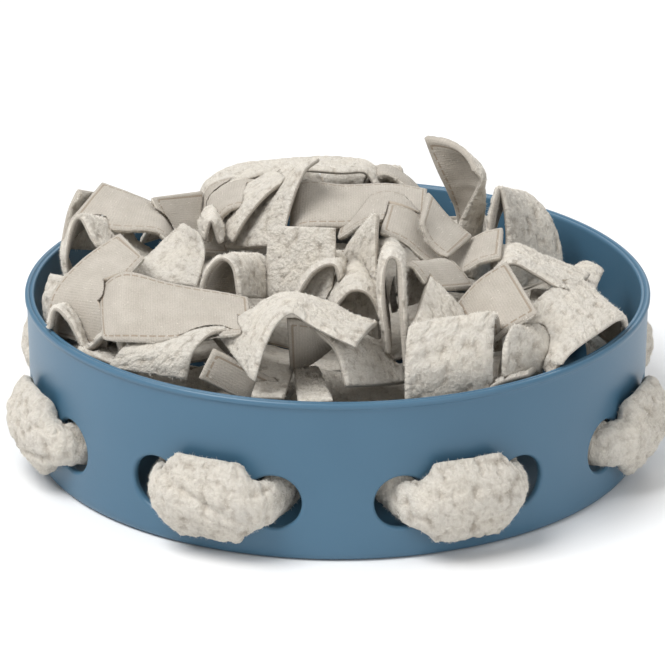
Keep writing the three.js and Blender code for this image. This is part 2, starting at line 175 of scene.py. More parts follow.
def bowl_mesh():
    """The bowl: turned sections below and above the band, and the band's sixteenths between."""
    points, faces, count = [], [], 0
    turns = np.arange(HOLES * ARC_STEPS) / ARC_STEPS * 2 * math.pi / HOLES
    for profile in (WALL_BELOW, WALL_ABOVE, FLOOR_INSIDE):
        grid = turned(profile, turns)
        faces.append(quads_between(*grid.shape[:2], closed=True, start=count))
        points.append(grid.reshape(-1, 3))
        count += points[-1].shape[0]
    for k in range(HOLES):
        rings = []
        for inside in (False, True):
            angle, radius, z = hole_band(inside)
            angle = angle + (k + 0.5) * 2 * math.pi / HOLES
            grid = np.stack([radius * np.cos(angle), radius * np.sin(angle), z], axis=-1)
            block = quads_between(*grid.shape[:2], closed=True, start=count)
            faces.append(block[:, ::-1] if inside else block)
            points.append(grid.reshape(-1, 3))
            rings.append(count + np.arange(grid.shape[1]))
            count += points[-1].shape[0]
        outer, inner = (np.append(ring, ring[0]) for ring in rings)
        faces.append(np.stack([outer[:-1], inner[:-1], inner[1:], outer[1:]], axis=-1))
    piece = add_mesh("bowl_shell", np.concatenate(points), faces)
    close_and_smooth(piece, merge=0.02 * MM, sharp=50)
    return piece


def close_and_smooth(piece, merge, sharp):
    """Joins points nearer than merge, turns all faces outwards, and shades smooth up to an angle."""
    work = bmesh.new()
    work.from_mesh(piece.data)
    bmesh.ops.remove_doubles(work, verts=work.verts, dist=merge)
    bmesh.ops.dissolve_degenerate(work, edges=work.edges, dist=merge / 10)
    bmesh.ops.recalc_face_normals(work, faces=work.faces)
    work.to_mesh(piece.data)
    work.free()
    piece.data.shade_smooth()
    piece.data.set_sharp_from_angle(angle=math.radians(sharp))


def linear(hex_colour):
    """An sRGB colour written as hex, turned to linear light with full alpha."""
    value = np.array([int(hex_colour[i:i + 2], 16) / 255 for i in (0, 2, 4)])
    low, high = value / 12.92, ((value + 0.055) / 1.055) ** 2.4
    return (*np.where(value <= 0.04045, low, high).tolist(), 1.0)


def node(tree, kind, inputs=None, **settings):
    """Adds a node with its settings; each input is linked if given a socket, and else set."""
    made = tree.nodes.new(kind)
    for key, value in settings.items():
        setattr(made, key, value)
    for key, value in (inputs or {}).items():
        if isinstance(value, bpy.types.NodeSocket):
            tree.links.new(value, made.inputs[key])
        else:
            made.inputs[key].default_value = value
    return made


def new_material(name):
    """A new material with no nodes, and the tree that they go into."""
    material = bpy.data.materials.new(name)
    material.use_nodes = True
    tree = material.node_tree
    tree.nodes.clear()
    return material, tree


def moulded_polypropylene():
    """Polypropylene moulded in a satin tool: even colour, soft wide highlights, a faint grain."""
    material, tree = new_material("moulded_polypropylene")
    place = node(tree, "ShaderNodeTexCoord").outputs["Object"]
    # The tool's spark-eroded grain is about 0.25 mm, drawn at 0.7 mm so that it shows.
    grain = node(tree, "ShaderNodeTexNoise", {"Vector": place, "Scale": 1 / 0.0007, "Detail": 2.0})
    cloud = node(tree, "ShaderNodeTexNoise", {"Vector": place, "Scale": 1 / 0.04, "Detail": 2.0})
    colour = node(tree, "ShaderNodeMix", {
        0: cloud.outputs["Fac"], 6: linear("41657D"), 7: linear("486D85")}, data_type="RGBA")
    rough = node(tree, "ShaderNodeMapRange", {
        "Value": grain.outputs["Fac"], "To Min": 0.33, "To Max": 0.43})
    bump = node(tree, "ShaderNodeBump", {
        "Height": grain.outputs["Fac"], "Strength": 0.12, "Distance": 0.0002})
    shader = node(tree, "ShaderNodeBsdfPrincipled", {
        "Base Color": colour.outputs[2], "Roughness": rough.outputs[0], "IOR": 1.49,
        "Normal": bump.outputs[0]})
    node(tree, "ShaderNodeOutputMaterial", {"Surface": shader.outputs[0]})
    return material


bowl = bowl_mesh()
bowl.data.materials.append(moulded_polypropylene())
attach(bowl, "root")
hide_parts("bowl")


# What all the fleece shares: cloth with a curly pile on one face and a fine knit on the other,
# cut into strips 38 mm wide with a line of stitching 2.4 mm in from each edge.

STRIP_WIDTH = 38.0
KNIT_SIDE = 1.25  # how far each face stands from the cloth's middle, the curls not counted
PILE_SIDE = 1.2
EDGE_ROUND = 1.8  # the width over which the faces draw in to the cut edge
EDGE_LEAST = 0.04  # the square of the share of the thickness that is left at the cut
END_THICKER = 0.6  # the ends are as thick as this much further in from a side
STITCH_LINE = 2.4  # from the edge
STITCH_DIP = 0.35
STITCH_WIDTH = 0.55
CURL_SIZES = (4.2, 2.5)  # two sizes of tuft, and their shares of the pile's height
CURL_SHARES = (0.7, 0.3)
CURL_RISE = 1.3
CURL_AT_EDGE = 0.35  # the share of its height that a curl keeps at the cut edge
CURL_ROOT = 0.3  # how far the curls' roots lie below the pile's side
WAVE_SIZES = (14, 5)  # unevenness of the whole cloth, long and short, and its heights
WAVE_HEIGHTS = (0.8, 0.25)
WAVE_FADE = 4  # the width over which it dies out towards the edge
CLOTH_STEP = 1.15  # between the points of a cloth's mesh
LENGTH_STEPS = 40  # to each row of a strip's table, where its length is measured
SLOPE_STEP = 0.01  # of a row, over which its direction is taken
LEAST_CURL = 1e-3  # stands for flat, in radians
CLEARANCE = 0.5  # that a strip keeps from those before it
CLEARANCE_HALF = 1.8  # half the thickness of a plain strip
CLEARANCE_STEPS = 5  # to each row
CLEARANCE_CURLED = 45  # past this curl, in degrees, a plain strip has more faces across
CLEARANCE_FACES = (6, 12)

cloth_random = np.random.default_rng(7)
LATTICE = cloth_random.random((256, 256, 3))


def smooth_noise(u, v, size, seed):
    """Noise from 0 to 1: a lattice of random numbers at steps of size, blended by smooth steps."""
    x, y = u / size + 37.1 * seed, v / size + 91.7 * seed
    i, j = np.floor(x).astype(int), np.floor(y).astype(int)
    fx, fy = x - i, y - j
    fx, fy = fx * fx * (3 - 2 * fx), fy * fy * (3 - 2 * fy)

    def at(a, b):
        return LATTICE[(i + a) % 256, (j + b) % 256, 0]

    near, far = at(0, 0) * (1 - fx) + at(1, 0) * fx, at(0, 1) * (1 - fx) + at(1, 1) * fx
    return near * (1 - fy) + far * fy


def curls(u, v, size, seed):
    """Round tufts from 0 to 1: one point is dropped in each square of a lattice, and the height is
    one less the squared distance to the nearest, as a share of size."""
    warp = 0.35 * size
    u = u + warp * (smooth_noise(u, v, 0.8 * size, seed + 3) - 0.5)
    v = v + warp * (smooth_noise(u, v, 0.8 * size, seed + 5) - 0.5)
    x, y = u / size + 17.3 * seed, v / size + 53.9 * seed
    i, j = np.floor(x).astype(int), np.floor(y).astype(int)
    best = np.full(x.shape, 4.0)
    for a in (-1, 0, 1):
        for b in (-1, 0, 1):
            spot = LATTICE[(i + a) % 256, (j + b) % 256]
            away = (i + a + spot[..., 1] - x) ** 2 + (j + b + spot[..., 2] - y) ** 2
            best = np.minimum(best, away)
    return np.clip(1 - best, 0, 1)


def spline(column, s):
    """A uniform Catmull-Rom curve through the rows of a column, at the places s."""
    last = len(column) - 1
    i = np.minimum(np.floor(s).astype(int), last - 1)
    t = (s - i)[(...,) + (None,) * (column.ndim - 1)]
    before, start = column[np.maximum(i - 1, 0)], column[i]
    end, after = column[i + 1], column[np.minimum(i + 2, last)]
    return start + 0.5 * t * (end - before + t * (2 * before - 5 * start + 4 * end - after
                                                  + t * (3 * start - before - 3 * end + after)))


def strip_lines(rows, s):
    """The middle line, the way across, the upward normal, the curl and the squeeze of a strip at s
    rows along its table. The way across comes from the heading and slope, and the normal is the
    run of the middle line crossed with it."""
    table = np.asarray(rows, float)
    yaw, rise = np.radians(table[:, 3]), np.radians(table[:, 4])
    across = np.stack([np.cos(yaw) * np.cos(rise), np.sin(yaw) * np.cos(rise), np.sin(rise)], axis=-1)
    squeeze = table[:, 6] if table.shape[1] > 6 else np.ones(len(table))
    last = len(table) - 1
    middle = spline(table[:, :3], s)
    ahead, behind = np.minimum(s + SLOPE_STEP, last), np.maximum(s - SLOPE_STEP, 0)
    along = spline(table[:, :3], ahead) - spline(table[:, :3], behind)
    across = spline(across, s)
    across /= np.linalg.norm(across, axis=-1, keepdims=True)
    along /= np.linalg.norm(along, axis=-1, keepdims=True)
    normal = np.cross(along, across)
    normal /= np.linalg.norm(normal, axis=-1, keepdims=True)
    cup = np.radians(spline(table[:, 5], s))
    cup = np.where(np.abs(cup) > LEAST_CURL, cup, LEAST_CURL)
    return middle, across, along, normal, cup, spline(squeeze, s)


def strip_face(lines, u, lift, grow=0.0):
    """A face of a strip: across by the radius times the sine of the angle, up by the radius times
    one less its cosine, and out by lift along the curled normal. u runs from -1 to 1 across."""
    middle, across, along, normal, cup, squeeze = (np.asarray(part)[:, None] for part in lines)
    radius = STRIP_WIDTH / cup
    angle = u * (STRIP_WIDTH + 2 * grow) / (2 * radius)
    side = (radius - lift) * np.sin(angle)
    up = squeeze * radius * (1 - np.cos(angle)) + lift * np.cos(angle)
    return middle + across * side[..., None] + normal * up[..., None]


def length_along(rows):
    """Places s along a strip's table, and the true length of the middle line up to each."""
    s = np.linspace(0, len(rows) - 1, LENGTH_STEPS * (len(rows) - 1) + 1)
    middle = spline(np.asarray(rows, float)[:, :3], s)
    run = np.concatenate([[0], np.cumsum(np.linalg.norm(np.diff(middle, axis=0), axis=1))])
    return s, run


def turned_about(points, turn):
    """Points turned about the upright axis by an angle in radians."""
    c, d = math.cos(turn), math.sin(turn)
    return points @ np.array([[c, d, 0], [-d, c, 0], [0, 0, 1]])


def ring_faces(sections, count):
    """Faces of a closed band: rings of points joined one to the next, and each end closed by
    pairing the points of its two faces."""
    index = np.arange(sections * count).reshape(sections, count)
    wall = quads_between(sections, count, closed=True)
    j = np.arange(count // 2 - 1)

    def end(ring):
        return np.stack([ring[j], ring[count - 1 - j], ring[count - 2 - j], ring[j + 1]], axis=-1)

    return [wall, end(index[0]), end(index[-1])[:, ::-1]]


def clearance_shape(name, rows, grow, turn=0.0):
    """A plain strip with no curls, larger all round by grow, that trims whatever runs into it."""
    steps = CLEARANCE_STEPS * (len(rows) - 1)
    s = np.linspace(0, len(rows) - 1, steps + 1)
    lines = list(strip_lines(rows, s))
    lines[0] = lines[0].copy()
    lines[0][0] -= lines[2][0] * grow
    lines[0][-1] += lines[2][-1] * grow
    quads = CLEARANCE_FACES[int(np.abs(np.asarray(rows)[:, 5]).max() > CLEARANCE_CURLED)]
    u = np.linspace(-1, 1, quads + 1)
    lift = np.full((1, quads + 1), CLEARANCE_HALF + grow)
    ring = np.concatenate([
        strip_face(lines, u, -lift, grow), strip_face(lines, u, lift, grow)[:, ::-1]], axis=1)
    ring = turned_about(ring, turn)
    piece = add_mesh(name, ring.reshape(-1, 3), ring_faces(steps + 1, 2 * quads + 2))
    close_and_smooth(piece, merge=1e-7, sharp=180)
    piece.hide_render = True
    return piece


def cloth_strip(name, rows, pile_up, step, pile, creases=(), seed=0, turn=0.0):
    """A strip of fleece as one closed band, and its length. The curly face lies on the side of the
    normal if pile_up is 1, and on the other if it is -1. The pile's height is tufts of two sizes.
    Both faces draw in towards the cut edges, as a quarter circle, and dip along the stitching. A
    crease is a bell-shaped dent across its line, which fades towards the line's ends."""
    s_fine, run = length_along(rows)
    length = run[-1]
    sections = max(int(round(length / step)), 4) + 1
    v = np.linspace(0, length, sections)
    lines = strip_lines(rows, np.interp(v, run, s_fine))
    columns = max(int(round(STRIP_WIDTH / step)), 8) + 1
    u = np.linspace(-1, 1, columns)
    w = (u + 1) / 2 * STRIP_WIDTH
    vv, ww = np.meshgrid(v, w, indexing="ij")
    edge = np.minimum(np.minimum(ww, STRIP_WIDTH - ww), np.minimum(vv, length - vv) + END_THICKER)
    closing = np.sqrt(np.clip(1 - (1 - np.clip(edge / EDGE_ROUND, 0, 1)) ** 2, EDGE_LEAST, 1))
    stitch = STITCH_DIP * np.exp(-((edge - STITCH_LINE) / STITCH_WIDTH) ** 2)
    curl = (CURL_SHARES[0] * curls(ww, vv, CURL_SIZES[0], seed)
            + CURL_SHARES[1] * curls(ww, vv, CURL_SIZES[1], seed + 11))
    tuft = CURL_RISE * pile * curl
    wave = (WAVE_HEIGHTS[0] * (smooth_noise(ww, vv, WAVE_SIZES[0], seed + 2) - 0.5)
            + WAVE_HEIGHTS[1] * (smooth_noise(ww, vv, WAVE_SIZES[1], seed + 4) - 0.5))
    dent = np.zeros_like(wave)
    for at_v, at_w, angle, reach, depth, width in creases:
        c, d = math.cos(math.radians(angle)), math.sin(math.radians(angle))
        run_to = (vv - at_v) * c + (ww - at_w) * d
        off = (ww - at_w) * c - (vv - at_v) * d
        dent += depth * np.exp(-(off / width) ** 2) * np.clip(1 - (run_to / reach) ** 2, 0, 1)
    fade = np.clip(edge / WAVE_FADE, 0, 1)
    curls_left = CURL_AT_EDGE + (1 - CURL_AT_EDGE) * closing
    curly = (PILE_SIDE * closing + tuft * curls_left - CURL_ROOT) - stitch
    knit = -(KNIT_SIDE * closing - stitch)
    lift_pile = pile_up * (curly - dent) + wave * fade
    lift_knit = pile_up * (knit - dent) + wave * fade
    top, bottom = (lift_pile, lift_knit) if pile_up > 0 else (lift_knit, lift_pile)
    ring = np.concatenate([strip_face(lines, u, bottom), strip_face(lines, u, top)[:, ::-1]], axis=1)
    ring = turned_about(ring, turn)
    count = 2 * columns
    faces = ring_faces(sections, count)
    piece = add_mesh(name, ring.reshape(-1, 3), faces)
    # Its UV maps: places on the cloth in millimetres, the distance from the cut edge, and how high the
    # curls stand from 0 to 1, which the pile's material also uses to paint shade at the curls' roots.
    corner = np.concatenate([f.reshape(-1) for f in faces])
    maps = {"cloth": (ww, vv), "edge": (edge, vv), "curl": (curl, edge)}
    for map_name, (a, b) in maps.items():
        layer = piece.data.uv_layers.new(name=map_name)
        flat = [np.concatenate([part, part[:, ::-1]], axis=1).reshape(-1)[corner] for part in (a, b)]
        layer.uv.foreach_set("vector", np.stack(flat, axis=-1).astype(np.float32).ravel())
    column = np.tile(np.arange(count), sections - 1)
    is_top = (column >= columns) & (column < count - 1)
    curly_face = is_top if pile_up > 0 else ~is_top
    last = 2 * (count // 2 - 1)
    index = np.concatenate([np.where(curly_face, 0, 1), np.ones(last, int)])
    piece.data.materials.append(PILE)
    piece.data.materials.append(KNIT)
    piece.data.polygons.foreach_set("material_index", index.astype(np.int32))
    piece.data.shade_smooth()
    return piece, length


def trimmed(piece, cutters):
    """Takes the cutters' space out of the piece, and keeps only its largest part."""
    for cutter in cutters:
        cut = piece.modifiers.new("trim", "BOOLEAN")
        cut.object, cut.operation, cut.solver = cutter, "DIFFERENCE", "MANIFOLD"
    if cutters:
        shape = piece.evaluated_get(bpy.context.evaluated_depsgraph_get())
        mesh = bpy.data.meshes.new_from_object(shape)
        piece.modifiers.clear()
        if len(mesh.polygons):
            old, piece.data = piece.data, mesh
            bpy.data.meshes.remove(old)
    keep_largest(piece)


def keep_largest(piece):
    """Deletes all but the connected part with the most points, found by passing the lowest point
    number along the edges until nothing changes."""
    mesh = piece.data
    pairs = np.zeros(2 * len(mesh.edges), np.int32)
    mesh.edges.foreach_get("vertices", pairs)
    a, b = pairs.reshape(-1, 2).T
    label = np.arange(len(mesh.vertices))
    while True:
        low = np.minimum(label[a], label[b])
        fresh = label.copy()
        np.minimum.at(fresh, a, low)
        np.minimum.at(fresh, b, low)
        fresh = fresh[fresh]
        if (fresh == label).all():
            break
        label = fresh
    names, counts = np.unique(label, return_counts=True)
    if len(names) > 1:
        work = bmesh.new()
        work.from_mesh(mesh)
        work.verts.ensure_lookup_table()
        drop = np.flatnonzero(label != names[counts.argmax()])
        bmesh.ops.delete(work, geom=[work.verts[i] for i in drop.tolist()], context="VERTS")
        work.to_mesh(mesh)
        work.free()


def overlapping(piece, cutters):
    """The cutters whose boxes meet the piece's box."""
    def corners(item):
        points = np.zeros(3 * len(item.data.vertices), np.float32)
        item.data.vertices.foreach_get("co", points)
        points = points.reshape(-1, 3)
        return points.min(0), points.max(0)
    low, high = corners(piece)
    near = []
    for cutter in cutters:
        cut_low, cut_high = corners(cutter)
        if (cut_low < high).all() and (low < cut_high).all():
            near.append(cutter)
    return near


def curly_pile(light, dark):
    """Polyester pile brushed and tumbled into curls: pale tips, with painted shade that darkens the
    colour between the curls and towards their roots, and a soft bloom of loose fibre at grazing angles.
    The small curls are 2.2 and 1.2 mm across."""
    material, tree = new_material("curly_polyester_pile")
    cloth = node(tree, "ShaderNodeUVMap", uv_map="cloth").outputs[0]
    curl = node(tree, "ShaderNodeTexVoronoi", {"Vector": cloth, "Scale": 1 / 2.2, "Randomness": 1.0},
                voronoi_dimensions="2D", feature="SMOOTH_F1")
    small = node(tree, "ShaderNodeTexVoronoi", {"Vector": cloth, "Scale": 1 / 1.2, "Randomness": 1.0},
                 voronoi_dimensions="2D", feature="SMOOTH_F1")
    fibre = node(tree, "ShaderNodeTexNoise", {
        "Vector": cloth, "Scale": 1 / 0.5, "Detail": 3.0, "Roughness": 0.7}, noise_dimensions="2D")
    patch = node(tree, "ShaderNodeTexNoise", {"Vector": cloth, "Scale": 1 / 11.0, "Detail": 3.0},
                 noise_dimensions="2D")
    depth = node(tree, "ShaderNodeMath", {0: curl.outputs["Distance"], 1: 0.45}, operation="MULTIPLY")
    depth = node(tree, "ShaderNodeMath", {0: small.outputs["Distance"], 1: 0.4, 2: depth.outputs[0]},
                 operation="MULTIPLY_ADD")
    depth = node(tree, "ShaderNodeMath", {0: fibre.outputs["Fac"], 1: 0.55, 2: depth.outputs[0]},
                 operation="MULTIPLY_ADD")
    height = node(tree, "ShaderNodeUVMap", uv_map="curl").outputs[0]
    stand = node(tree, "ShaderNodeSeparateXYZ", {0: height})
    root = node(tree, "ShaderNodeMapRange", {
        "Value": stand.outputs[0], "From Min": 0.8, "From Max": 0.35})
    depth = node(tree, "ShaderNodeMath", {0: root.outputs[0], 1: 0.65, 2: depth.outputs[0]},
                 operation="MULTIPLY_ADD")
    # Painted shade: the colour runs towards the dark one between the curls and where the curls are low,
    # at their roots. The fine noise adds random flecks.
    shade = node(tree, "ShaderNodeMapRange", {
        "Value": depth.outputs[0], "From Min": 0.5, "From Max": 1.35})
    colour = node(tree, "ShaderNodeMix", {
        0: shade.outputs[0], 6: linear(light), 7: linear(dark)}, data_type="RGBA")
    tint = node(tree, "ShaderNodeMix", {
        0: patch.outputs["Fac"], 6: linear("F3F2F1"), 7: linear("FCF8F1")}, data_type="RGBA")
    colour = node(tree, "ShaderNodeMix", {0: 1.0, 6: colour.outputs[2], 7: tint.outputs[2]},
                  data_type="RGBA", blend_type="MULTIPLY")
    bump = node(tree, "ShaderNodeBump", {
        "Height": depth.outputs[0], "Strength": 1.0, "Distance": 0.0017}, invert=True)
    shader = node(tree, "ShaderNodeBsdfPrincipled", {
        "Base Color": colour.outputs[2], "Roughness": 0.95, "IOR": 1.45, "Specular IOR Level": 0.15,
        "Sheen Weight": 0.3, "Sheen Roughness": 0.6, "Sheen Tint": linear("FFFBF2"),
        "Normal": bump.outputs[0]})
    node(tree, "ShaderNodeOutputMaterial", {"Surface": shader.outputs[0]})
    return material


def fine_knit(light, dark, thread):
    """A fine weft knit of the same yarn: faint ribs across the strip, flecked light and dark, and a
    tan line of stitching near the cut edge."""
    material, tree = new_material("fine_polyester_knit")
    cloth = node(tree, "ShaderNodeUVMap", uv_map="cloth").outputs[0]
    edge = node(tree, "ShaderNodeUVMap", uv_map="edge").outputs[0]
    # The ribs are about 0.6 mm apart, drawn at 1.1 mm so that they show. At a scale of 1 the bands
    # of a wave texture are 0.314 apart.
    rib = node(tree, "ShaderNodeTexWave", {
        "Vector": cloth, "Scale": 1 / 1.1 * 0.314, "Distortion": 1.2, "Detail": 1.0,
        "Detail Scale": 2.5}, wave_type="BANDS", bands_direction="Y", wave_profile="SIN")
    fleck = node(tree, "ShaderNodeTexNoise", {
        "Vector": cloth, "Scale": 1 / 0.8, "Detail": 4.0, "Roughness": 0.75}, noise_dimensions="2D")
    patch = node(tree, "ShaderNodeTexNoise", {"Vector": cloth, "Scale": 1 / 8.0, "Detail": 3.0},
                 noise_dimensions="2D")
    depth = node(tree, "ShaderNodeMath", {0: rib.outputs["Fac"], 1: 0.13, 2: fleck.outputs["Fac"]},
                 operation="MULTIPLY_ADD")
    depth = node(tree, "ShaderNodeMath", {0: patch.outputs["Fac"], 1: 0.5, 2: depth.outputs[0]},
                 operation="MULTIPLY_ADD")
    shade = node(tree, "ShaderNodeMapRange", {
        "Value": depth.outputs[0], "From Min": 0.5, "From Max": 1.15})
    colour = node(tree, "ShaderNodeMix", {
        0: shade.outputs[0], 6: linear(dark), 7: linear(light)}, data_type="RGBA")
    # A line of stitches near the edge, 0.9 mm wide, each 3 mm long and 1 mm from the next.
    split = node(tree, "ShaderNodeSeparateXYZ", {0: edge})
    near = node(tree, "ShaderNodeMath", {0: split.outputs[0], 1: STITCH_LINE, 2: 0.45},
                operation="COMPARE")
    beat = node(tree, "ShaderNodeMath", {0: split.outputs[1], 1: 2.0}, operation="PINGPONG")
    dash = node(tree, "ShaderNodeMath", {0: beat.outputs[0], 1: 0.5}, operation="GREATER_THAN")
    seam = node(tree, "ShaderNodeMath", {0: near.outputs[0], 1: dash.outputs[0]}, operation="MULTIPLY")
    seam = node(tree, "ShaderNodeMath", {0: seam.outputs[0], 1: 0.7}, operation="MULTIPLY")
    colour = node(tree, "ShaderNodeMix", {0: seam.outputs[0], 6: colour.outputs[2], 7: linear(thread)},
                  data_type="RGBA")
    bump = node(tree, "ShaderNodeBump", {
        "Height": depth.outputs[0], "Strength": 0.8, "Distance": 0.0008})
    shader = node(tree, "ShaderNodeBsdfPrincipled", {
        "Base Color": colour.outputs[2], "Roughness": 0.92, "IOR": 1.45, "Specular IOR Level": 0.15,
        "Sheen Weight": 0.25, "Sheen Roughness": 0.5, "Sheen Tint": linear("FFFBF2"),
        "Normal": bump.outputs[0]})
    node(tree, "ShaderNodeOutputMaterial", {"Surface": shader.outputs[0]})
    return material


# The pile's second colour is the painted shade, used between the curls and at their roots.
PILE = curly_pile("F6F1E8", "C3B9AC")
KNIT = fine_knit("CCC4B9", "ADA599", "968470")


# The straps: eight strips of the same fleece, rolled with the curly face outwards. Each is pulled out
# of one hole, lies over the wall between, and goes in through the next, gathered where it passes.

# Half a strap, as if it were at the front: from its middle outside to its end in the bowl. The
# columns are as for the strips below, and the last is the share of its curl's height that is left.
STRAP_ROWS = [
    (0, -145.4, 26.2, 0, 90, -112, 1.0), (16, -143.2, 26.0, 0, 90, -116, 0.9),
    (24, -136.2, 25.4, 0, 90, -310, 0.42), (26.4, -124, 25.4, 0, 90, -310, 0.42),
    (28, -108, 28.0, 0, 90, -170, 0.8),
]
STRAP_LOOP = [(-x, *rest) for x, *rest in STRAP_ROWS[:0:-1]] + STRAP_ROWS
# Two ways that a strap creases, used in turn. A crease has its middle's place along and across the
# strap, its slope in degrees, its half length, its depth and its width.
STRAP_CREASES = [
    [(60.0, 11.0, 8.0, 24.0, 2.0, 1.3), (48.0, 27.0, -12.0, 16.0, 0.9, 1.6)],
    [(54.0, 22.0, -22.0, 28.0, 2.0, 1.4), (62.0, 9.0, 6.0, 16.0, 1.0, 1.6)],
]
STRAP_NAMES = [
    "front_right", "right", "back_right", "rear_right", "rear_left", "back_left", "left", "front_left",
]

trimmers = []
fleece = []
for k, name in enumerate(STRAP_NAMES):
    turn = (k + 0.5) * math.pi / 4
    strap, length = cloth_strip(
        f"strap_cloth_{name}", STRAP_LOOP, pile_up=1, step=CLOTH_STEP, pile=2.0,
        creases=STRAP_CREASES[k % 2], seed=60 + k, turn=turn)
    fleece.append((strap, "fleece_strap"))
    trimmer = clearance_shape(f"strap_clearance_{name}", STRAP_LOOP, CLEARANCE, turn)
    trimmers.append(trimmer)
    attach(strap, "root")
    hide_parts(f"strap_{name}")


# The strips of the heap: two-faced fleece, 38 mm wide, folded and bent so that curls show on some and
# the knit on others. Each is a table with a row for each place where it turns or bends: x, y and z of
# its middle, the heading and slope of the way across it, and how far its width is curled, in degrees.
# The number before the table is 1 if the curly face lies on the side of its normal. Where two strips
# meet, the one named first keeps its shape.

